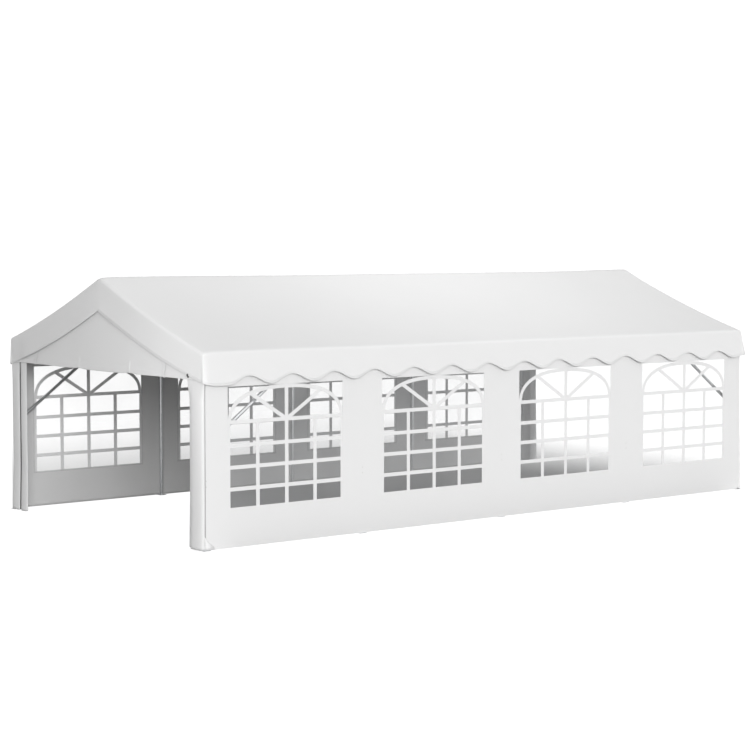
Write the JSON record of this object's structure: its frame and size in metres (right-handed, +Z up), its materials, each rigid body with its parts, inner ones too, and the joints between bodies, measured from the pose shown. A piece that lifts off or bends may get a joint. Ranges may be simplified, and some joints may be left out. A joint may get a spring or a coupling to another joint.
{
  "type": "marquee tent",
  "caption": "Long marquee tent with a tubular steel frame, a white pitched cover with scalloped valances, side walls with arched windows and open gable ends.",
  "frame": {"origin": "on the ground, under the middle of the tent", "axes": "+Z up, Y along the ridge with the front doorway at -Y, X across the tent"},
  "size_m": [4.1188, 8.1276, 2.7228],
  "materials": {
    "steel": "galvanised, satin",
    "roof_fabric": "white woven polyethylene sheet, low sheen",
    "wall_fabric": "white woven polyethylene sheet, low sheen",
    "window_film": "clear flexible film"
  },
  "bodies": {
    "root": {"leg_right_1": "steel", "leg_right_2": "steel", "leg_right_3": "steel", "leg_right_4": "steel", "leg_right_5": "steel", "leg_left_1": "steel", "leg_left_2": "steel", "leg_left_3": "steel", "leg_left_4": "steel", "leg_left_5": "steel", "portal_1": "steel", "portal_2": "steel", "portal_3": "steel", "portal_4": "steel", "portal_5": "steel", "ridge_purlin_1": "steel", "ridge_purlin_2": "steel", "ridge_purlin_3": "steel", "ridge_purlin_4": "steel", "eave_purlin_right_1": "steel", "eave_purlin_right_2": "steel", "eave_purlin_right_3": "steel", "eave_purlin_right_4": "steel", "eave_purlin_left_1": "steel", "eave_purlin_left_2": "steel", "eave_purlin_left_3": "steel", "eave_purlin_left_4": "steel", "crossbar_front": "steel", "crossbar_rear": "steel", "brace_right_front": "steel", "brace_right_rear": "steel", "brace_left_front": "steel", "brace_left_rear": "steel", "roof_cover": "roof_fabric", "side_valance_right": "roof_fabric", "side_valance_left": "roof_fabric", "gable_valance_front": "roof_fabric", "gable_valance_rear": "roof_fabric", "gable_panel_front": "wall_fabric", "gable_panel_rear": "wall_fabric", "side_wall_right": "wall_fabric", "side_wall_left": "wall_fabric", "window_right_1": "window_film", "window_right_2": "window_film", "window_right_3": "window_film", "window_right_4": "window_film", "window_left_1": "window_film", "window_left_2": "window_film", "window_left_3": "window_film", "window_left_4": "window_film", "corner_curtain_right_front": "wall_fabric", "corner_curtain_right_rear": "wall_fabric", "corner_curtain_left_front": "wall_fabric", "corner_curtain_left_rear": "wall_fabric"}
  },
  "joints": []
}
